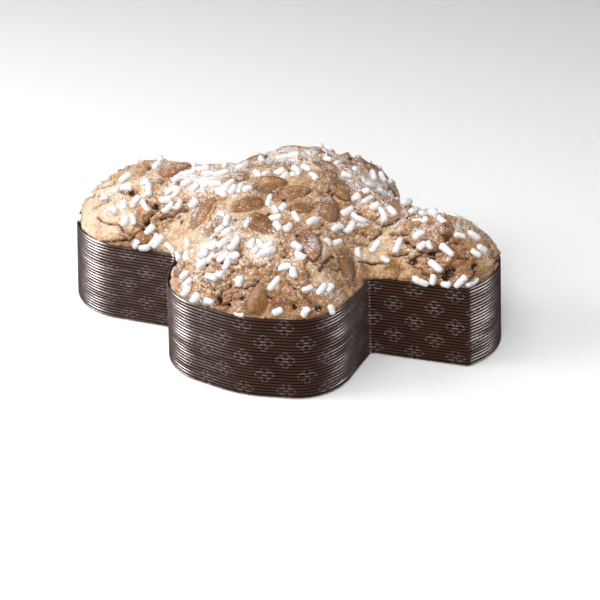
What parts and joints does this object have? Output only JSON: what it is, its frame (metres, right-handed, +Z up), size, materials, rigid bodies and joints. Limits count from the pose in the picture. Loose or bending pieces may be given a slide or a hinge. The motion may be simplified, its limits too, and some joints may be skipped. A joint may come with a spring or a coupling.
{
  "type": "colomba easter bread",
  "caption": "Dove-shaped festive loaf with an almond glaze, whole almonds and pearl sugar on its domed crust, standing in its ribbed brown paper baking case.",
  "frame": {"origin": "middle of the loaf's outline, on the surface that it stands on", "axes": "+X from the tail to the head, along the loaf's length; +Y across the wings; +Z up"},
  "size_m": [0.3016, 0.2086, 0.101],
  "materials": {
    "baked_crust": "matt baked almond glaze, dusted with icing sugar",
    "pearl_sugar": "matt white compressed sugar, fused to the crust",
    "almond_skin": "matt ridged brown skin",
    "case_paper": "semi-gloss corrugated baking paper, printed"
  },
  "bodies": {
    "root": {"bread": "baked_crust", "paper_case": "case_paper", "almond_01": "almond_skin", "almond_02": "almond_skin", "almond_03": "almond_skin", "almond_04": "almond_skin", "almond_05": "almond_skin", "almond_06": "almond_skin", "almond_07": "almond_skin", "almond_08": "almond_skin", "almond_09": "almond_skin", "almond_10": "almond_skin", "almond_11": "almond_skin", "almond_12": "almond_skin", "almond_13": "almond_skin", "almond_14": "almond_skin", "almond_15": "almond_skin", "almond_16": "almond_skin", "almond_17": "almond_skin", "almond_18": "almond_skin", "almond_19": "almond_skin", "almond_20": "almond_skin", "almond_21": "almond_skin", "almond_22": "almond_skin", "almond_23": "almond_skin", "almond_24": "almond_skin", "almond_25": "almond_skin", "almond_26": "almond_skin", "almond_27": "almond_skin", "almond_28": "almond_skin", "almond_29": "almond_skin", "almond_30": "almond_skin", "almond_31": "almond_skin", "almond_32": "almond_skin"}
  },
  "joints": []
}
